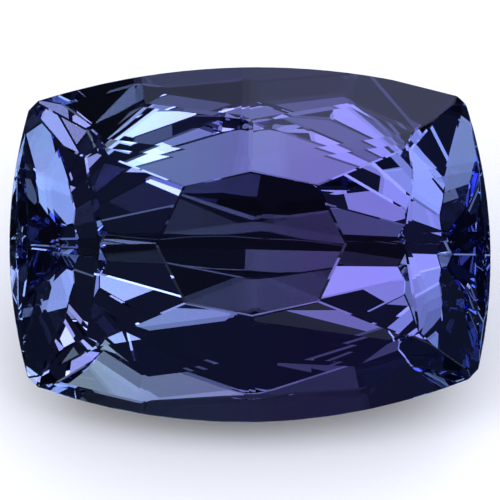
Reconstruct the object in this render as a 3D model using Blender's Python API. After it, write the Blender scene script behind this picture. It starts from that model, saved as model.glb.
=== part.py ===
"""Cushion-cut tanzanite, lying on one of its large lower facets.

The stone is made the way a cutter makes it. A block is ground to the girdle outline, and every tier of
facets is then one slope, a few compass directions and one reach. Slopes are measured from the girdle
plane, and directions anticlockwise from +X with the table towards the viewer. A reach is how far from
the dop's axis the facet's plane crosses the girdle's edge, so a facet with a longer reach than the
outline's own starts above or below the girdle. The stone is held anew for the crown and for the
pavilion, so each has its own axis and its own small turn.
"""

import math
from typing import NamedTuple

import bmesh
import bpy
from mathutils import Matrix, Vector

MM = 0.001

# Girdle outline, with the table towards the viewer
LOWER_RIGHT = Vector((5.45, -3.16)) * MM
UPPER_RIGHT = Vector((5.14, 3.54)) * MM
UPPER_LEFT = Vector((-5.26, 3.40)) * MM
LOWER_LEFT = Vector((-5.28, -3.35)) * MM
RIGHT_RISE = 0.48 * MM
TOP_RISE = 0.79 * MM
LEFT_RISE = 0.50 * MM
BOTTOM_RISE = 1.01 * MM
CORNER_CUT = 0.09 * MM
GIRDLE_THICKNESS = 0.15 * MM
GIRDLE_FACETS_A_SIDE = 12
BREAKS_A_SIDE = 4

# Block that the stone is cut from, and the distance within which a corner already lies on a facet
BLOCK_SIZE = 20.0 * MM
SNAP = 0.0005 * MM

SIDES = (90.0, 270.0)


def four_ways(turn):
    """The four directions that mirror one turn of the index wheel."""
    return (turn, 180.0 - turn, 180.0 + turn, 360.0 - turn)


class Tier(NamedTuple):
    name: str
    slope: float
    turns: tuple
    reach: float


class Half(NamedTuple):
    """The crown or the pavilion: how it is held, the breaks along its girdle edge, and its tiers."""

    axis: Vector
    turn: float
    end_break_slope: float
    side_break_slope: float
    corner_break_slope: float
    tiers: tuple


TABLE_HEIGHT = 2.17 * MM

CROWN = Half(
    axis=Vector((0.11, -0.03)) * MM,
    turn=0.6,
    end_break_slope=39.8,
    side_break_slope=43.7,
    corner_break_slope=46.6,
    tiers=(
        Tier("end stars", 18.8, four_ways(26.0), 8.19 * MM),
        Tier("side stars", 18.5, four_ways(78.5), 7.95 * MM),
        Tier("side mains", 31.2, four_ways(78.0), 5.15 * MM),
        Tier("side kites", 35.2, four_ways(81.0), 4.71 * MM),
        Tier("end kites", 33.6, four_ways(8.5), 6.13 * MM),
        Tier("corner kites", 34.0, four_ways(47.0), 6.13 * MM),
    ),
)

PAVILION = Half(
    axis=Vector((0.02, -0.08)) * MM,
    turn=-1.4,
    end_break_slope=66.0,
    side_break_slope=53.6,
    corner_break_slope=52.7,
    tiers=(
        Tier("keel mains", 34.6, SIDES, 5.88 * MM),
        Tier("keel tips", 36.7, four_ways(19.5), 8.07 * MM),
        Tier("side mains", 45.4, four_ways(80.0), 4.74 * MM),
        Tier("side kites", 48.3, four_ways(75.5), 4.72 * MM),
        Tier("side wedges", 48.4, four_ways(83.5), 4.50 * MM),
        Tier("end mains", 45.6, four_ways(22.0), 6.71 * MM),
        Tier("end kites", 49.8, four_ways(24.5), 6.33 * MM),
        Tier("end wedges", 56.1, four_ways(12.5), 6.11 * MM),
        Tier("corner mains", 45.0, four_ways(39.5), 6.36 * MM),
        Tier("corner kites", 46.6, four_ways(45.5), 6.05 * MM),
    ),
)

# The facet that the stone lies on
REST_SLOPE = 34.6
REST_TURN = 270.0

STONE_COLOUR = (0.05, 0.04, 0.22, 1.0)
STONE_IOR = 1.695


def compass(turn):
    return Vector((math.cos(math.radians(turn)), math.sin(math.radians(turn))))


def arc(start, end, rise, steps):
    """Points from start to end on the circle that rises so far to the right of the way there."""
    half = (end - start).length / 2
    radius = (half**2 + rise**2) / (2 * rise)
    along = (end - start).normalized()
    outward = Vector((along.y, -along.x))
    centre = (start + end) / 2 - outward * (radius - rise)
    swing = math.asin(half / radius)
    angles = [swing * (2 * step / steps - 1) for step in range(steps + 1)]
    return [centre + radius * (outward * math.cos(a) + along * math.sin(a)) for a in angles]


def sides():
    """Each side of the outline as its two corners and its rise, anticlockwise from the right."""
    return (
        (LOWER_RIGHT, UPPER_RIGHT, RIGHT_RISE),
        (UPPER_RIGHT, UPPER_LEFT, TOP_RISE),
        (UPPER_LEFT, LOWER_LEFT, LEFT_RISE),
        (LOWER_LEFT, LOWER_RIGHT, BOTTOM_RISE),
    )


def chords(points):
    """The outward direction and the distance of each straight run between points."""
    found = []
    for start, end in zip(points, points[1:]):
        along = (end - start).normalized()
        outward = Vector((along.y, -along.x))
        found.append((outward, outward.dot(start)))
    return found


def corner_chords():
    """One small flat across each corner, square to the way out between its two sides."""
    found = []
    outline = sides()
    for here, following in zip(outline, outline[1:] + outline[:1]):
        before = (here[1] - here[0]).normalized()
        after = (following[1] - following[0]).normalized()
        outward = (before - after).normalized()
        found.append((outward, outward.dot(here[1]) - CORNER_CUT))
    return found


def cut(stone, name, outward, slope, reach, level):
    """Grind one flat facet. A slope above zero faces up, below zero faces down, and 90 is the girdle."""
    tilt = math.radians(abs(slope))
    lift = math.copysign(math.cos(tilt), slope)
    normal = Vector((outward.x * math.sin(tilt), outward.y * math.sin(tilt), lift))
    point = Vector((outward.x * reach, outward.y * reach, level))
    whole = stone.verts[:] + stone.edges[:] + stone.faces[:]
    result = bmesh.ops.bisect_plane(
        stone, geom=whole, dist=SNAP, plane_co=point, plane_no=normal, clear_outer=True
    )
    rim = [part for part in result["geom_cut"] if isinstance(part, bmesh.types.BMEdge)]
    if not rim:
        raise ValueError(f"one of the {name} misses the stone")
    bmesh.ops.contextual_create(stone, geom=rim)


def cut_girdle(stone):
    for start, end, rise in sides():
        for outward, distance in chords(arc(start, end, rise, GIRDLE_FACETS_A_SIDE)):
            cut(stone, "girdle facets", outward, 90.0, distance, 0.0)
    for outward, distance in corner_chords():
        cut(stone, "girdle corners", outward, 90.0, distance, 0.0)


def cut_half(stone, half, facing):
    """Cut the breaks, which follow the outline, and then the tiers. Facing is 1 up and -1 down."""
    level = facing * GIRDLE_THICKNESS / 2
    for index, (start, end, rise) in enumerate(sides()):
        slope = (half.end_break_slope, half.side_break_slope)[index % 2]
        for outward, distance in chords(arc(start, end, rise, BREAKS_A_SIDE)):
            cut(stone, "breaks", outward, facing * slope, distance, level)
    for outward, distance in corner_chords():
        cut(stone, "corner breaks", outward, facing * half.corner_break_slope, distance, level)
    for tier in half.tiers:
        for turn in tier.turns:
            outward = compass(turn + half.turn)
            reach = tier.reach + half.axis.dot(outward)
            cut(stone, tier.name, outward, facing * tier.slope, reach, level)


def cut_stone():
    stone = bmesh.new()
    bmesh.ops.create_cube(stone, size=BLOCK_SIZE)
    cut_girdle(stone)
    cut_half(stone, CROWN, 1)
    cut_half(stone, PAVILION, -1)
    cut(stone, "table", Vector((0.0, 0.0)), 0.0, 0.0, TABLE_HEIGHT)
    return stone


def tanzanite_material():
    material = bpy.data.materials.new("tanzanite")
    material.use_nodes = True
    shader = material.node_tree.nodes["Principled BSDF"]
    shader.inputs["Base Color"].default_value = STONE_COLOUR
    shader.inputs["Roughness"].default_value = 0.0
    shader.inputs["Metallic"].default_value = 0.0
    shader.inputs["IOR"].default_value = STONE_IOR
    shader.inputs["Transmission Weight"].default_value = 1.0
    material.diffuse_color = STONE_COLOUR
    return material


def clear_scene():
    for existing in list(bpy.data.objects):
        bpy.data.objects.remove(existing, do_unlink=True)


def lay_down(stone):
    """Turn the facet that the stone rests on to face down, with the middle of its box's foot at the origin."""
    hinge = compass(REST_TURN + PAVILION.turn + 90.0).to_3d()
    rest = Matrix.Rotation(math.radians(REST_SLOPE), 3, hinge)
    corners = [rest @ vertex.co for vertex in stone.data.vertices]
    low = Vector([min(corner[axis] for corner in corners) for axis in range(3)])
    high = Vector([max(corner[axis] for corner in corners) for axis in range(3)])
    stone.rotation_euler = rest.to_euler()
    stone.location = (-(low.x + high.x) / 2, -(low.y + high.y) / 2, -low.z)


def main():
    clear_scene()
    collection = bpy.data.collections.new("cushion_cut_tanzanite")
    bpy.context.scene.collection.children.link(collection)
    cut_mesh = cut_stone()
    mesh = bpy.data.meshes.new("tanzanite")
    cut_mesh.to_mesh(mesh)
    cut_mesh.free()
    mesh.materials.append(tanzanite_material())
    stone = bpy.data.objects.new("tanzanite", mesh)
    collection.objects.link(stone)
    lay_down(stone)


if __name__ == "__main__":
    main()
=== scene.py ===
"""Looks of a cushion-cut tanzanite that lies on a pale floor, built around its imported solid.

The stone is cut again by Geometry Nodes from the same plan as the solid, with its edges rubbed down by
a few thousandths of a millimetre, and it takes the solid's place. Lengths are in metres, and angles in
the settings are in radians. The stone's own frame has +X along its length and +Z out of its table.
"""

import math

import bmesh
import bpy
from bpy.props import BoolProperty, CollectionProperty, FloatProperty, FloatVectorProperty
from bpy.props import IntProperty, PointerProperty
from bpy.types import Operator, Panel, PropertyGroup
from mathutils import Matrix, Vector


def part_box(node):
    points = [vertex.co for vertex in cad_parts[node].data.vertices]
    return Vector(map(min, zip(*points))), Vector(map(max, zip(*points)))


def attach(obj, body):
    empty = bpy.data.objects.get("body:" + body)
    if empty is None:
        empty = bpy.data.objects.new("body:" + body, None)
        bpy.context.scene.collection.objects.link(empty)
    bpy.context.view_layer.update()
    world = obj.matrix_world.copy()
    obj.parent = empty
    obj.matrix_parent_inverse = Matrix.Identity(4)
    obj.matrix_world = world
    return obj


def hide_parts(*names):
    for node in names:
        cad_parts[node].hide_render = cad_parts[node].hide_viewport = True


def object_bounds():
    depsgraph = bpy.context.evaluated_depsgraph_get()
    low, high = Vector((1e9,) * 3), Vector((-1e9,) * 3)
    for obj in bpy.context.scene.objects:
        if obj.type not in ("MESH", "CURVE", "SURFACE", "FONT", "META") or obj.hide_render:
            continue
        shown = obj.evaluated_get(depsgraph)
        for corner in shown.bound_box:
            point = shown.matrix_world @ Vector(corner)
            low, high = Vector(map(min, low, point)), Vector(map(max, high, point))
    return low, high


bl_info = {
    "name": "Cushion-cut tanzanite",
    "version": (1, 0, 0),
    "blender": (4, 5, 0),
    "location": "View3D > Sidebar > Tanzanite",
    "description": "Cuts a cushion-shaped tanzanite from tiers of facets and lights it on a pale floor",
    "category": "Object",
}

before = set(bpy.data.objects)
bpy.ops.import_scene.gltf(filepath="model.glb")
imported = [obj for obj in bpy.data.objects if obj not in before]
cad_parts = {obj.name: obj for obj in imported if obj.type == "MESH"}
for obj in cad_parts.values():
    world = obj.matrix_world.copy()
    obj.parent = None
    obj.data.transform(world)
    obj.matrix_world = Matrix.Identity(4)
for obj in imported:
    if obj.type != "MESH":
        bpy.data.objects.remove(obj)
CAD_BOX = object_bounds()

MM = 0.001
PHOTO_WIDTH_PX = 500
PIXEL = 0.024 * MM

# Closest that two corners of the stone may be, and the most that it may miss its solid's box by
MERGE = 0.001 * MM
MISFIT = 0.03 * MM

# A facet belongs to the girdle where its normal is this level
GIRDLE_LEVEL = 0.05

# Tanzanite's refraction
STONE_IOR = 1.695

# Finish of the ground girdle: its roughness, and the fineness, strength and depth of its grain
GIRDLE_ROUGHNESS = 0.25
GRAIN_SCALE = 20000.0
GRAIN_STRENGTH = 0.3
GRAIN_DEPTH = 0.005 * MM

# Where along the stone the blue and the violet lie, from 0 on the left to 1 on the right
BLUE_PLACE = 0.3
VIOLET_PLACE = 0.63

# Half the diagonal of a panel's face, which runs from 0 to 1 both ways
HALF_DIAGONAL = 0.7

# Half the floor's width in metres, its roughness, and how broad its light is
FLOOR_REACH = 3.0
FLOOR_ROUGHNESS = 0.9
FLOOR_LIGHT_ANGLE = math.radians(150.0)

# How often light may turn inside the stone
MOST_TURNS = 32
MOST_TURNS_OF_A_KIND = 24

# Cutting plan: axis in millimetres, turn, and slopes of the breaks along the ends, sides and corners
CROWN_HOLD = ((0.11, -0.03), 0.6, (39.8, 43.7, 46.6))
PAVILION_HOLD = ((0.02, -0.08), -1.4, (66.0, 53.6, 52.7))

# Tiers of facets: name, slope and turn in degrees, reach in millimetres
CROWN_TIERS = (
    ("end stars", 18.8, 26.0, 8.19),
    ("side stars", 18.5, 78.5, 7.95),
    ("side mains", 31.2, 78.0, 5.15),
    ("side kites", 35.2, 81.0, 4.71),
    ("end kites", 33.6, 8.5, 6.13),
    ("corner kites", 34.0, 47.0, 6.13),
)
PAVILION_TIERS = (
    ("keel mains", 34.6, 90.0, 5.88),
    ("keel tips", 36.7, 19.5, 8.07),
    ("side mains", 45.4, 80.0, 4.74),
    ("side kites", 48.3, 75.5, 4.72),
    ("side wedges", 48.4, 83.5, 4.50),
    ("end mains", 45.6, 22.0, 6.71),
    ("end kites", 49.8, 24.5, 6.33),
    ("end wedges", 56.1, 12.5, 6.11),
    ("corner mains", 45.0, 39.5, 6.36),
    ("corner kites", 46.6, 45.5, 6.05),
)

# Studio panels: name, azimuth, elevation, width, height and roll in degrees, radiance, whether its light
# enters the stone, and whether the facets mirror it, which a polariser stops
STUDIO_PANELS = (
    ("left bank", 193.0, 51.5, 53.0, 36.0, -70.0, 1.0, True, False),
    ("back bank", 60.0, 41.5, 43.5, 40.0, 59.0, 0.55, True, False),
    ("front bank", 265.0, 36.5, 33.5, 37.5, -82.0, 0.36, True, True),
    ("right strip", 4.0, 18.5, 17.0, 53.0, 75.0, 1.5, True, False),
    ("overhead strip", 312.5, 77.5, 51.5, 14.5, -77.5, 0.6, True, True),
    ("high front strip", 313.0, 62.5, 11.0, 26.5, 13.0, 2.0, True, True),
    ("front left strip", 245.5, 57.0, 20.0, 8.5, -71.0, 0.2, True, True),
    ("low front strip", 298.5, -6.0, 19.5, 49.5, 62.0, 0.4, True, True),
    ("front right lamp", 319.0, 14.0, 9.0, 15.0, -88.5, 2.4, True, True),
    ("sheen panel", 78.0, 46.0, 36.0, 40.0, 0.0, 0.85, False, True),
)


class FacetTier(PropertyGroup):
    """Facets of one slope and reach, cut in the directions that mirror one turn of the index wheel."""

    slope: FloatProperty(
        name="Slope", description="Angle from the girdle plane", default=0.6, subtype="ANGLE"
    )
    turn: FloatProperty(
        name="Turn", description="Direction from the stone's length", default=0.0, subtype="ANGLE"
    )
    reach: FloatProperty(
        name="Reach",
        description="Distance from the axis at which the facets cross the girdle's edge",
        default=5.0 * MM,
        unit="LENGTH",
    )


class StoneHalf(PropertyGroup):
    """How the crown or the pavilion is held and cut."""

    axis: FloatVectorProperty(
        name="Axis",
        description="Where the index wheel's axis crosses the girdle plane",
        size=2,
        default=(0.0, 0.0),
        unit="LENGTH",
    )
    turn: FloatProperty(
        name="Turn", description="Small turn of the whole half", default=0.0, subtype="ANGLE"
    )
    breaks: FloatVectorProperty(
        name="Breaks",
        description="Slope of the breaks along the ends, the sides and the corners",
        size=3,
        default=(0.7, 0.7, 0.7),
        subtype="EULER",
    )
    tiers: CollectionProperty(type=FacetTier, name="Tiers", description="Tiers of facets")


class StoneSettings(PropertyGroup):
    """Sizes and colours of the cut stone."""

    lower_right: FloatVectorProperty(
        name="Lower right",
        description="Corner of the girdle's outline",
        size=2,
        default=(5.45 * MM, -3.16 * MM),
        unit="LENGTH",
    )
    upper_right: FloatVectorProperty(
        name="Upper right",
        description="Corner of the girdle's outline",
        size=2,
        default=(5.14 * MM, 3.54 * MM),
        unit="LENGTH",
    )
    upper_left: FloatVectorProperty(
        name="Upper left",
        description="Corner of the girdle's outline",
        size=2,
        default=(-5.26 * MM, 3.40 * MM),
        unit="LENGTH",
    )
    lower_left: FloatVectorProperty(
        name="Lower left",
        description="Corner of the girdle's outline",
        size=2,
        default=(-5.28 * MM, -3.35 * MM),
        unit="LENGTH",
    )
    rises: FloatVectorProperty(
        name="Rises",
        description="Rise of the arc along the right, the top, the left and the bottom",
        size=4,
        default=(0.48 * MM, 0.79 * MM, 0.50 * MM, 1.01 * MM),
        unit="LENGTH",
    )
    corner_cut: FloatProperty(
        name="Corner cut",
        description="Depth of the small flat at each corner",
        default=0.09 * MM,
        unit="LENGTH",
    )
    girdle: FloatProperty(
        name="Girdle", description="Thickness of the girdle", default=0.15 * MM, unit="LENGTH"
    )
    girdle_facets: IntProperty(
        name="Girdle facets", description="Flats along each side", default=12, min=3
    )
    break_facets: IntProperty(
        name="Break facets", description="Breaks along each side", default=4, min=2
    )
    table: FloatProperty(
        name="Table height",
        description="Height of the table over the middle of the girdle",
        default=2.17 * MM,
        unit="LENGTH",
    )
    wear: FloatProperty(
        name="Edge wear",
        description="How far the edges between facets are rubbed down",
        default=0.005 * MM,
        min=0.001 * MM,
        unit="LENGTH",
    )
    rest_slope: FloatProperty(
        name="Rest slope",
        description="Slope of the facet that it lies on",
        default=math.radians(34.6),
        subtype="ANGLE",
    )
    rest_heading: FloatProperty(
        name="Rest heading",
        description="Direction of the facet that it lies on",
        default=math.radians(270.0),
        subtype="ANGLE",
    )
    left_colour: FloatVectorProperty(
        name="Left colour",
        description="Body colour at the left end, a blue with a breath of green",
        size=3,
        default=(0.86, 1.00, 0.44),
        subtype="COLOR",
    )
    blue_colour: FloatVectorProperty(
        name="Blue colour",
        description="Body colour a third of the way along, steel blue",
        size=3,
        default=(0.74, 0.93, 0.86),
        subtype="COLOR",
    )
    violet_colour: FloatVectorProperty(
        name="Violet colour",
        description="Body colour just past the middle, violet",
        size=3,
        default=(0.88, 0.62, 1.00),
        subtype="COLOR",
    )
    right_colour: FloatVectorProperty(
        name="Right colour",
        description="Body colour at the right end, periwinkle blue",
        size=3,
        default=(0.50, 0.78, 1.00),
        subtype="COLOR",
    )
    zone_scale: FloatProperty(
        name="Zone scale", description="Fineness of the clouds between the colours", default=300.0, min=0.0
    )
    zone_shift: FloatProperty(
        name="Zone shift",
        description="How far the clouds move the colours, as a share of the length",
        default=0.3,
        min=0.0,
    )
    depth_colour: FloatVectorProperty(
        name="Depth colour",
        description="Colour that light takes on as it crosses the stone",
        size=3,
        default=(0.26, 0.32, 0.88),
        subtype="COLOR",
    )
    depth_density: FloatProperty(
        name="Depth density",
        description="How fast the stone takes light away, for each metre",
        default=80.0,
        min=0.0,
    )
    crown: PointerProperty(type=StoneHalf, name="Crown", description="The upper half")
    pavilion: PointerProperty(type=StoneHalf, name="Pavilion", description="The lower half")


class StudioPanel(PropertyGroup):
    """One soft panel of the studio, given by where it stands and how large it looks from the stone."""

    azimuth: FloatProperty(
        name="Azimuth", description="Direction round the stone from +X", default=0.0, subtype="ANGLE"
    )
    elevation: FloatProperty(
        name="Elevation", description="Height over the horizon", default=0.8, subtype="ANGLE"
    )
    width: FloatProperty(name="Width", description="Width seen from the stone", default=0.5, subtype="ANGLE")
    height: FloatProperty(
        name="Height", description="Height seen from the stone", default=0.5, subtype="ANGLE"
    )
    roll: FloatProperty(
        name="Roll", description="Turn about the line to the stone", default=0.0, subtype="ANGLE"
    )
    radiance: FloatProperty(
        name="Radiance", description="Brightness of the panel's face", default=1.0, min=0.0
    )
    enters: BoolProperty(name="Enters", description="Its light enters the stone", default=True)
    mirrored: BoolProperty(name="Mirrored", description="The facets mirror it", default=True)


class StageSettings(PropertyGroup):
    """Floor, light and camera."""

    panels: CollectionProperty(type=StudioPanel, name="Panels", description="Soft panels round the stone")
    distance: FloatProperty(
        name="Distance", description="From the stone to each panel", default=0.5, unit="LENGTH"
    )
    panel_middle: FloatProperty(
        name="Panel middle",
        description="Brightness of a panel's middle, against its mean",
        default=1.95,
        min=0.0,
    )
    panel_rim: FloatProperty(
        name="Panel rim",
        description="Brightness of a panel's corners, against its mean",
        default=0.4,
        min=0.0,
    )
    daylight: FloatVectorProperty(
        name="Daylight",
        description="Colour of the panels, a little cool",
        size=3,
        default=(0.65, 0.72, 1.0),
        subtype="COLOR",
    )
    sheen_colour: FloatVectorProperty(
        name="Sheen colour",
        description="Colour of a panel that only shows as a sheen on the facets",
        size=3,
        default=(0.52, 0.56, 1.0),
        subtype="COLOR",
    )
    room_colour: FloatVectorProperty(
        name="Room colour",
        description="Colour of the dim room, a deep blue",
        size=3,
        default=(0.45, 0.5, 1.0),
        subtype="COLOR",
    )
    room: FloatProperty(
        name="Room", description="Radiance of the dim room over the stone", default=0.03, min=0.0
    )
    below: FloatProperty(
        name="Below", description="Radiance that the stone sees under itself", default=0.006, min=0.0
    )
    backdrop: FloatProperty(
        name="Backdrop", description="Radiance of the pale backdrop", default=0.95, min=0.0
    )
    floor_light: FloatProperty(
        name="Floor light", description="Strength of the light on the floor", default=3.0, min=0.0
    )
    floor_colour: FloatVectorProperty(
        name="Floor colour",
        description="Colour of the floor",
        size=3,
        default=(0.9, 0.9, 0.9),
        subtype="COLOR",
    )
    floor_gap: FloatProperty(
        name="Floor gap",
        description="Air between the stone and the floor",
        default=0.01 * MM,
        unit="LENGTH",
    )
    lens: FloatProperty(name="Lens", description="Focal length in millimetres", default=900.0, min=1.0)
    sensor: FloatProperty(
        name="Sensor", description="Width of the sensor in millimetres", default=36.0, min=1.0
    )
    lean: FloatVectorProperty(
        name="Lean",
        description="How far the view leans off the table's axis, as slopes along X and Y",
        size=2,
        default=(-0.032, 0.02),
    )
    middle: FloatVectorProperty(
        name="Middle",
        description="Point of the girdle plane, from its origin, in the middle of the picture",
        size=2,
        default=(0.006 * MM, -0.132 * MM),
        unit="LENGTH",
    )


def wire(tree, kind, inputs=None, output=0, **settings):
    """Add a node, set or link its inputs, and give back one of its outputs."""
    node = tree.nodes.new(kind)
    for name, value in settings.items():
        setattr(node, name, value)
    for key, value in (inputs or {}).items():
        if isinstance(value, bpy.types.NodeSocket):
            tree.links.new(value, node.inputs[key])
        else:
            node.inputs[key].default_value = value
    return node.outputs[output]


def maths(tree, operation, first, second=0.0):
    return wire(tree, "ShaderNodeMath", {0: first, 1: second}, operation=operation)


def vector_maths(tree, operation, first, second=(0.0, 0.0, 0.0)):
    output = "Value" if operation in ("DOT_PRODUCT", "LENGTH") else "Vector"
    return wire(tree, "ShaderNodeVectorMath", {0: first, 1: second}, output, operation=operation)


def scaled(tree, vector, scale):
    return wire(tree, "ShaderNodeVectorMath", {0: vector, "Scale": scale}, operation="SCALE")


def stored(tree, name, kind="FLOAT"):
    """The chart's attribute of that name."""
    node = wire(tree, "GeometryNodeInputNamedAttribute", {"Name": name}, data_type=kind).node
    return next(socket for socket in node.outputs if socket.enabled)


def moved(tree, geometry, position):
    return wire(tree, "GeometryNodeSetPosition", {"Geometry": geometry, "Position": position})


def facet_points(tree, chart):
    """One point for each facet, at its outward normal divided by its plane's distance."""
    amount = {"Geometry": chart, "Amount": stored(tree, "facets", "INT")}
    facets = wire(tree, "GeometryNodeDuplicateElements", amount, domain="POINT")
    turned = maths(tree, "MULTIPLY", stored(tree, "turn_step"), facets.node.outputs["Duplicate Index"])
    turn = maths(tree, "ADD", stored(tree, "first_turn"), turned)
    tilt = stored(tree, "tilt")
    across = maths(tree, "SINE", tilt)
    upward = maths(tree, "COSINE", tilt)
    x = maths(tree, "MULTIPLY", maths(tree, "COSINE", turn), across)
    y = maths(tree, "MULTIPLY", maths(tree, "SINE", turn), across)
    normal = wire(tree, "ShaderNodeCombineXYZ", {"X": x, "Y": y, "Z": upward})
    from_centre = vector_maths(tree, "DOT_PRODUCT", stored(tree, "centre", "FLOAT_VECTOR"), normal)
    from_reach = maths(tree, "MULTIPLY", stored(tree, "reach"), across)
    from_level = maths(tree, "MULTIPLY", stored(tree, "level"), upward)
    distance = maths(tree, "ADD", maths(tree, "ADD", from_centre, from_reach), from_level)
    return moved(tree, facets, scaled(tree, normal, maths(tree, "DIVIDE", 1.0, distance)))


def worn_points(tree, hull, wear):
    """One point on each edge of the hull, pushed out until its plane takes that edge off the stone."""
    edges = wire(tree, "GeometryNodeMeshToPoints", {"Mesh": hull}, mode="EDGES")
    position = wire(tree, "GeometryNodeInputPosition")
    distance = maths(tree, "DIVIDE", 1.0, vector_maths(tree, "LENGTH", position))
    nearer = maths(tree, "SUBTRACT", distance, wear)
    outward = vector_maths(tree, "NORMALIZE", position)
    return moved(tree, edges, scaled(tree, outward, maths(tree, "DIVIDE", 1.0, nearer)))


def dual_stone(tree, hull):
    """The stone itself, which has one corner for each face of the hull."""
    normal = wire(tree, "GeometryNodeInputNormal")
    distance = vector_maths(tree, "DOT_PRODUCT", normal, wire(tree, "GeometryNodeInputPosition"))
    capture = tree.nodes.new("GeometryNodeCaptureAttribute")
    capture.domain = "FACE"
    capture.capture_items.new("VECTOR", "corner")
    tree.links.new(hull, capture.inputs[0])
    tree.links.new(scaled(tree, normal, maths(tree, "DIVIDE", 1.0, distance)), capture.inputs[1])
    dual = wire(tree, "GeometryNodeDualMesh", {0: capture.outputs[0]})
    stone = moved(tree, dual, capture.outputs[1])
    return wire(tree, "GeometryNodeMergeByDistance", {"Geometry": stone, "Distance": MERGE})


def cutting_tree():
    """Node tree that turns a chart of facets into the solid that their planes enclose.

    A plane with the normal n at the distance d stands as the point n / d. The convex hull of all those
    points has one corner for each facet and one face for each corner of the stone, so the stone is its
    dual. Points on the hull's edges, pushed out a little, stand for planes that take off sharp edges.
    """
    tree = bpy.data.node_groups.new("Cut stone", "GeometryNodeTree")
    tree.interface.new_socket("Chart", in_out="INPUT", socket_type="NodeSocketGeometry")
    tree.interface.new_socket("Edge wear", in_out="INPUT", socket_type="NodeSocketFloat")
    tree.interface.new_socket("Polish", in_out="INPUT", socket_type="NodeSocketMaterial")
    tree.interface.new_socket("Girdle finish", in_out="INPUT", socket_type="NodeSocketMaterial")
    tree.interface.new_socket("Stone", in_out="OUTPUT", socket_type="NodeSocketGeometry")
    given = tree.nodes.new("NodeGroupInput").outputs

    chart = wire(tree, "GeometryNodeMeshToPoints", {"Mesh": given["Chart"]})
    facets = facet_points(tree, chart)
    sharp = wire(tree, "GeometryNodeConvexHull", {"Geometry": facets})
    joined = tree.nodes.new("GeometryNodeJoinGeometry")
    tree.links.new(facets, joined.inputs[0])
    tree.links.new(worn_points(tree, sharp, given["Edge wear"]), joined.inputs[0])
    worn = wire(tree, "GeometryNodeConvexHull", {"Geometry": joined.outputs[0]})
    stone = wire(tree, "GeometryNodeRealizeInstances", {"Geometry": dual_stone(tree, worn)})

    stone = wire(tree, "GeometryNodeSetMaterial", {"Geometry": stone, "Material": given["Polish"]})
    upright = wire(tree, "ShaderNodeSeparateXYZ", {0: wire(tree, "GeometryNodeInputNormal")}, "Z")
    level = maths(tree, "ABSOLUTE", upright)
    on_girdle = wire(tree, "FunctionNodeCompare", {0: level, 1: GIRDLE_LEVEL}, operation="LESS_THAN")
    finish = {"Geometry": stone, "Selection": on_girdle, "Material": given["Girdle finish"]}
    stone = wire(tree, "GeometryNodeSetMaterial", finish)
    end = tree.nodes.new("NodeGroupOutput")
    tree.links.new(stone, end.inputs["Stone"])
    return tree


def outline_corners(stone):
    """The girdle's corners, anticlockwise from the lower right."""
    corners = (stone.lower_right, stone.upper_right, stone.upper_left, stone.lower_left)
    return [Vector(corner) for corner in corners]


def outline_arcs(stone):
    """Each side of the girdle as an arc: its centre, radius, middle direction and half swing."""
    corners = outline_corners(stone)
    found = []
    for index, rise in enumerate(stone.rises):
        start = corners[index]
        end = corners[(index + 1) % 4]
        half = (end - start).length / 2
        radius = (half**2 + rise**2) / (2 * rise)
        along = (end - start).normalized()
        outward = Vector((along.y, -along.x))
        centre = (start + end) / 2 - outward * (radius - rise)
        found.append((centre, radius, math.atan2(outward.y, outward.x), math.asin(half / radius)))
    return found


def corner_flats(stone):
    """The direction and the distance of the small flat across each corner."""
    corners = outline_corners(stone)
    found = []
    for index, corner in enumerate(corners):
        before = (corner - corners[index - 1]).normalized()
        after = (corners[(index + 1) % 4] - corner).normalized()
        outward = (before - after).normalized()
        found.append((math.atan2(outward.y, outward.x), outward.dot(corner) - stone.corner_cut))
    return found


def tilt(slope, facing):
    """Angle of a facet's normal from +Z, for a slope from the girdle plane. Facing is 1 up and -1 down."""
    return slope if facing > 0 else math.pi - slope


def mirror_turns(turn):
    """A turn stands for its opposite too, and a slanting one also has a mirror image."""
    slanting = abs(math.sin(2 * turn)) > 0.001
    return (turn, -turn) if slanting else (turn,)


def arc_fan(arc, facets, slope, level):
    """The fan of flats along one side of the outline."""
    centre, radius, direction, swing = arc
    step = 2 * swing / facets
    return (direction - swing + step / 2, step, facets, slope, radius * math.cos(step / 2), level, centre)


def chart_rows(stone):
    """Fans of facets: first turn, turn between facets, number, tilt, reach, level and centre."""
    middle = Vector((0.0, 0.0))
    upright = math.pi / 2
    arcs = outline_arcs(stone)
    flats = corner_flats(stone)
    rows = [(0.0, 0.0, 1, 0.0, 0.0, stone.table, middle)]
    rows += [arc_fan(arc, stone.girdle_facets, upright, 0.0) for arc in arcs]
    rows += [(direction, 0.0, 1, upright, distance, 0.0, middle) for direction, distance in flats]
    for half, facing in ((stone.crown, 1), (stone.pavilion, -1)):
        level = facing * stone.girdle / 2
        end_slope, side_slope, corner_slope = (tilt(slope, facing) for slope in half.breaks)
        for index, arc in enumerate(arcs):
            rows.append(arc_fan(arc, stone.break_facets, (end_slope, side_slope)[index % 2], level))
        rows += [(direction, 0.0, 1, corner_slope, distance, level, middle) for direction, distance in flats]
        for tier in half.tiers:
            for turn in mirror_turns(tier.turn):
                slope = tilt(tier.slope, facing)
                rows.append((turn + half.turn, math.pi, 2, slope, tier.reach, level, Vector(half.axis)))
    return rows


def chart_mesh(rows):
    """A mesh with one loose vertex for each fan, which holds the fan's values as attributes."""
    mesh = bpy.data.meshes.new("chart")
    mesh.from_pydata([Vector()] * len(rows), [], [])
    for column, name in enumerate(("first_turn", "turn_step", "facets", "tilt", "reach", "level")):
        kind = "INT" if name == "facets" else "FLOAT"
        attribute = mesh.attributes.new(name, kind, "POINT")
        attribute.data.foreach_set("value", [row[column] for row in rows])
    centres = mesh.attributes.new("centre", "FLOAT_VECTOR", "POINT")
    for item, row in zip(centres.data, rows):
        item.vector = row[-1].to_3d()
    return mesh


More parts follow.
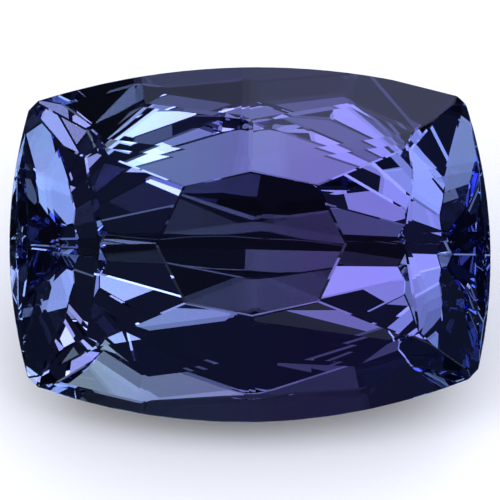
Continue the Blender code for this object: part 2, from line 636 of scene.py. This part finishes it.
def laying_turn(stone):
    """Turn of the stone that puts its rest facet face down."""
    hinge = stone.rest_heading + stone.pavilion.turn + math.pi / 2
    return Matrix.Rotation(stone.rest_slope, 3, Vector((math.cos(hinge), math.sin(hinge), 0.0)))


def mesh_box(mesh):
    corners = [vertex.co for vertex in mesh.vertices]
    low = Vector([min(corner[axis] for corner in corners) for axis in range(3)])
    high = Vector([max(corner[axis] for corner in corners) for axis in range(3)])
    return low, high


def principled(material):
    return next(node for node in material.node_tree.nodes if node.type == "BSDF_PRINCIPLED")


def clear_material(stone, name, roughness):
    """See-through tanzanite: its refraction, its finish, and the colour that light takes on inside it."""
    material = bpy.data.materials.new(name)
    material.use_nodes = True
    tree = material.node_tree
    shader = principled(material)
    shader.inputs["Roughness"].default_value = roughness
    shader.inputs["IOR"].default_value = STONE_IOR
    shader.inputs["Transmission Weight"].default_value = 1.0
    inside = wire(tree, "ShaderNodeVolumeAbsorption")
    inside.node.inputs["Color"].default_value = (*stone.depth_colour, 1.0)
    inside.node.inputs["Density"].default_value = stone.depth_density
    output = next(node for node in tree.nodes if node.type == "OUTPUT_MATERIAL")
    tree.links.new(inside, output.inputs["Volume"])
    return material


def body_colour(tree, stone):
    """Body colour by place, because tanzanite turns from greenish blue to violet with its direction."""
    low, high = CAD_BOX
    place = wire(tree, "ShaderNodeTexCoord", output="Object")
    along = wire(tree, "ShaderNodeSeparateXYZ", {0: place}, "X")
    span = wire(tree, "ShaderNodeMapRange", {"Value": along, "From Min": low.x, "From Max": high.x})
    cloud = wire(tree, "ShaderNodeTexNoise", {"Vector": place, "Scale": stone.zone_scale, "Detail": 1.0})
    shift = maths(tree, "MULTIPLY", maths(tree, "SUBTRACT", cloud, 0.5), stone.zone_shift)
    ramp = wire(tree, "ShaderNodeValToRGB", {"Fac": maths(tree, "ADD", span, shift)})
    stops = ramp.node.color_ramp.elements
    stops[0].color = (*stone.left_colour, 1.0)
    stops[1].color = (*stone.right_colour, 1.0)
    stops.new(BLUE_PLACE).color = (*stone.blue_colour, 1.0)
    stops.new(VIOLET_PLACE).color = (*stone.violet_colour, 1.0)
    return ramp


def polish_material(stone):
    material = clear_material(stone, "polished tanzanite", 0.0)
    tree = material.node_tree
    tree.links.new(body_colour(tree, stone), principled(material).inputs["Base Color"])
    return material


def girdle_material(stone):
    """The girdle's ground edge, with a fine frosted grain."""
    material = clear_material(stone, "ground girdle", GIRDLE_ROUGHNESS)
    tree = material.node_tree
    shader = principled(material)
    tree.links.new(body_colour(tree, stone), shader.inputs["Base Color"])
    place = wire(tree, "ShaderNodeTexCoord", output="Object")
    grain = wire(tree, "ShaderNodeTexNoise", {"Vector": place, "Scale": GRAIN_SCALE, "Detail": 2.0})
    bump = {"Height": grain, "Strength": GRAIN_STRENGTH, "Distance": GRAIN_DEPTH}
    tree.links.new(wire(tree, "ShaderNodeBump", bump), shader.inputs["Normal"])
    return material


class GEM_OT_cut_stone(Operator):
    """Cut the stone from its plan and lay it on its rest facet"""

    bl_idname = "gem.cut_stone"
    bl_label = "Cut the stone"

    def execute(self, context):
        settings = context.scene.stone
        chart = bpy.data.objects.new("chart", chart_mesh(chart_rows(settings)))
        context.collection.objects.link(chart)
        cutter = chart.modifiers.new("cut", "NODES")
        cutter.node_group = cutting_tree()
        given = {
            "Edge wear": settings.wear,
            "Polish": polish_material(settings),
            "Girdle finish": girdle_material(settings),
        }
        for item in cutter.node_group.interface.items_tree:
            if item.name in given:
                cutter[item.identifier] = given[item.name]
        evaluated = chart.evaluated_get(context.evaluated_depsgraph_get())
        mesh = bpy.data.meshes.new_from_object(evaluated)
        bpy.data.objects.remove(chart)
        mesh.transform(laying_turn(settings).to_4x4())
        low, high = mesh_box(mesh)
        cad_low, cad_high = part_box("tanzanite")
        misfit = ((high - low) - (cad_high - cad_low)).length
        if misfit > MISFIT:
            raise RuntimeError(f"the cut stone misses its solid's box by {misfit / MM:.3f} mm")
        mesh.transform(Matrix.Translation((cad_low + cad_high) / 2 - (low + high) / 2))
        stone = bpy.data.objects.new("cut_tanzanite", mesh)
        context.collection.objects.link(stone)
        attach(stone, "root")
        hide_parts("tanzanite")
        return {"FINISHED"}


def set_world(stage):
    """A pale backdrop for the camera, and a dim room, darker below, for what the stone mirrors and bends."""
    world = bpy.data.worlds.new("studio")
    world.use_nodes = True
    tree = world.node_tree
    background = next(node for node in tree.nodes if node.type == "BACKGROUND")
    direction = wire(tree, "ShaderNodeTexCoord", output="Generated")
    height = wire(tree, "ShaderNodeSeparateXYZ", {0: direction}, "Z")
    above = maths(tree, "GREATER_THAN", height, 0.0)
    room = wire(tree, "ShaderNodeMix", {"Factor": above, "A": stage.below, "B": stage.room})
    seen = wire(tree, "ShaderNodeLightPath", output="Is Camera Ray")
    strength = wire(tree, "ShaderNodeMix", {"Factor": seen, "A": room, "B": stage.backdrop})
    tree.links.new(strength, background.inputs["Strength"])
    ends = {1: (*stage.room_colour, 1.0), 2: (1.0, 1.0, 1.0, 1.0)}
    colour = wire(tree, "ShaderNodeMixRGB", {"Fac": seen, **ends})
    tree.links.new(colour, background.inputs["Color"])
    bpy.context.scene.world = world


def add_floor(stage):
    """A pale floor that the stone neither mirrors nor shows through itself."""
    mesh = bpy.data.meshes.new("floor")
    form = bmesh.new()
    bmesh.ops.create_grid(form, x_segments=1, y_segments=1, size=FLOOR_REACH)
    bmesh.ops.translate(form, vec=(0.0, 0.0, -stage.floor_gap), verts=form.verts)
    form.to_mesh(mesh)
    form.free()
    material = bpy.data.materials.new("pale floor")
    material.use_nodes = True
    shader = principled(material)
    shader.inputs["Base Color"].default_value = (*stage.floor_colour, 1.0)
    shader.inputs["Roughness"].default_value = FLOOR_ROUGHNESS
    mesh.materials.append(material)
    floor = bpy.data.objects.new("floor", mesh)
    bpy.context.collection.objects.link(floor)
    floor.visible_transmission = False
    floor.visible_glossy = False


def add_floor_light(stage):
    """A broad light from above that shows on the floor alone."""
    light = bpy.data.lights.new("floor light", "SUN")
    light.energy = stage.floor_light
    light.angle = FLOOR_LIGHT_ANGLE
    lamp = bpy.data.objects.new("floor light", light)
    bpy.context.collection.objects.link(lamp)
    lamp.visible_transmission = False
    lamp.visible_glossy = False


def soften_face(light, stage):
    """Let a panel's face fade from its middle to its rim, as a softbox does."""
    light.use_nodes = True
    tree = light.node_tree
    emission = next(node for node in tree.nodes if node.type == "EMISSION")
    place = wire(tree, "ShaderNodeNewGeometry", output="Parametric")
    aside = vector_maths(tree, "SUBTRACT", place, (0.5, 0.5, 0.0))
    flat = vector_maths(tree, "MULTIPLY", aside, (1.0, 1.0, 0.0))
    away = {"Value": vector_maths(tree, "LENGTH", flat), "From Min": 0.0, "From Max": HALF_DIAGONAL}
    ends = {"To Min": stage.panel_middle, "To Max": stage.panel_rim}
    strength = wire(tree, "ShaderNodeMapRange", {**away, **ends})
    tree.links.new(strength, emission.inputs["Strength"])


def add_panel(stage, panel, target):
    """A soft panel that faces the stone, at the stage's distance."""
    light = bpy.data.lights.new(panel.name, "AREA")
    light.shape = "RECTANGLE"
    light.size = 2 * stage.distance * math.tan(panel.width / 2)
    light.size_y = 2 * stage.distance * math.tan(panel.height / 2)
    light.color = stage.daylight if panel.enters else stage.sheen_colour
    light.energy = panel.radiance * math.pi * light.size * light.size_y
    soften_face(light, stage)
    lamp = bpy.data.objects.new(panel.name, light)
    lamp.visible_transmission = panel.enters
    lamp.visible_glossy = panel.mirrored
    bpy.context.collection.objects.link(lamp)
    level = math.cos(panel.elevation)
    height = math.sin(panel.elevation)
    away = Vector((math.cos(panel.azimuth) * level, math.sin(panel.azimuth) * level, height))
    across = Vector((0.0, 0.0, 1.0)).cross(away).normalized()
    facing = Matrix((across, away.cross(across), away)).transposed().to_4x4()
    roll = Matrix.Rotation(panel.roll, 4, "Z")
    lamp.matrix_world = Matrix.Translation(target + away * stage.distance) @ facing @ roll


def add_camera(stage, stone, origin):
    """A long lens, square to the table but for a small lean, with the photo's pixel for its pixel."""
    camera = bpy.data.cameras.new("camera")
    camera.lens = stage.lens
    camera.sensor_width = stage.sensor
    camera.clip_start = 0.01
    camera.clip_end = 10.0
    viewer = bpy.data.objects.new("camera", camera)
    bpy.context.collection.objects.link(viewer)
    turn = laying_turn(stone)
    back = (turn @ Vector((-stage.lean[0], -stage.lean[1], 1.0))).normalized()
    across = (turn @ Vector((0.0, 1.0, 0.0))).cross(back).normalized()
    facing = Matrix((across, back.cross(across), back)).transposed().to_4x4()
    target = origin + turn @ Vector((*stage.middle, 0.0))
    away = PHOTO_WIDTH_PX * PIXEL * stage.lens / stage.sensor
    viewer.matrix_world = Matrix.Translation(target + back * away) @ facing
    bpy.context.scene.camera = viewer


def outline_low(stone):
    """Lowest X and Y of the girdle's outline in the stone's own frame."""
    points = []
    for centre, radius, direction, swing in outline_arcs(stone):
        for step in range(stone.girdle_facets + 1):
            turn = direction + swing * (2 * step / stone.girdle_facets - 1)
            points.append(centre + radius * Vector((math.cos(turn), math.sin(turn))))
    return Vector((min(point.x for point in points), min(point.y for point in points)))


def girdle_middle(stone):
    """Where the plan's origin, in the middle of the girdle, lies now."""
    turn = laying_turn(stone)
    upright = bpy.data.objects["cut_tanzanite"].data.copy()
    upright.transform(turn.inverted().to_4x4())
    low, high = mesh_box(upright)
    bpy.data.meshes.remove(upright)
    origin = Vector((low.x, low.y)) - outline_low(stone)
    return turn @ Vector((origin.x, origin.y, high.z - stone.table))


class GEM_OT_set_stage(Operator):
    """Add the floor, the studio light and the camera"""

    bl_idname = "gem.set_stage"
    bl_label = "Set the stage"

    def execute(self, context):
        stage = context.scene.stage
        stone = context.scene.stone
        if "cut_tanzanite" not in bpy.data.objects:
            raise RuntimeError("the stage is set round the stone, which isn't cut yet")
        target = girdle_middle(stone)
        set_world(stage)
        add_floor(stage)
        add_floor_light(stage)
        for panel in stage.panels:
            add_panel(stage, panel, target)
        add_camera(stage, stone, target)
        context.scene.view_settings.view_transform = "Standard"
        paths = context.scene.cycles
        paths.max_bounces = MOST_TURNS
        paths.glossy_bounces = MOST_TURNS_OF_A_KIND
        paths.transmission_bounces = MOST_TURNS_OF_A_KIND
        paths.caustics_reflective = False
        paths.caustics_refractive = False
        return {"FINISHED"}


class GEM_PT_stone(Panel):
    """Holds the steps that make the stone and its stage"""

    bl_idname = "GEM_PT_stone"
    bl_label = "Tanzanite"
    bl_space_type = "VIEW_3D"
    bl_region_type = "UI"
    bl_category = "Tanzanite"

    def draw(self, context):
        layout = self.layout
        layout.prop(context.scene.stone, "wear")
        layout.operator(GEM_OT_cut_stone.bl_idname)
        layout.operator(GEM_OT_set_stage.bl_idname)


CLASSES = (
    FacetTier,
    StoneHalf,
    StoneSettings,
    StudioPanel,
    StageSettings,
    GEM_OT_cut_stone,
    GEM_OT_set_stage,
    GEM_PT_stone,
)


def register():
    for item in CLASSES:
        bpy.utils.register_class(item)
    bpy.types.Scene.stone = PointerProperty(type=StoneSettings)
    bpy.types.Scene.stage = PointerProperty(type=StageSettings)


def unregister():
    del bpy.types.Scene.stage
    del bpy.types.Scene.stone
    for item in reversed(CLASSES):
        bpy.utils.unregister_class(item)


def degrees(*values):
    return tuple(math.radians(value) for value in values)


def fill_half(half, hold, tiers):
    axis, turn, breaks = hold
    half.axis = [value * MM for value in axis]
    half.turn = math.radians(turn)
    half.breaks = degrees(*breaks)
    for name, slope, heading, reach in tiers:
        tier = half.tiers.add()
        tier.name = name
        tier.slope, tier.turn = degrees(slope, heading)
        tier.reach = reach * MM


def fill_settings(scene):
    """Write the cutting plan and the studio panels into the scene's settings."""
    fill_half(scene.stone.crown, CROWN_HOLD, CROWN_TIERS)
    fill_half(scene.stone.pavilion, PAVILION_HOLD, PAVILION_TIERS)
    for name, azimuth, elevation, width, height, roll, radiance, enters, mirrored in STUDIO_PANELS:
        panel = scene.stage.panels.add()
        panel.name = name
        panel.azimuth, panel.elevation = degrees(azimuth, elevation)
        panel.width, panel.height, panel.roll = degrees(width, height, roll)
        panel.radiance = radiance
        panel.enters = enters
        panel.mirrored = mirrored


def main():
    register()
    fill_settings(bpy.context.scene)
    bpy.ops.gem.cut_stone()
    bpy.ops.gem.set_stage()


if __name__ == "__main__":
    main()
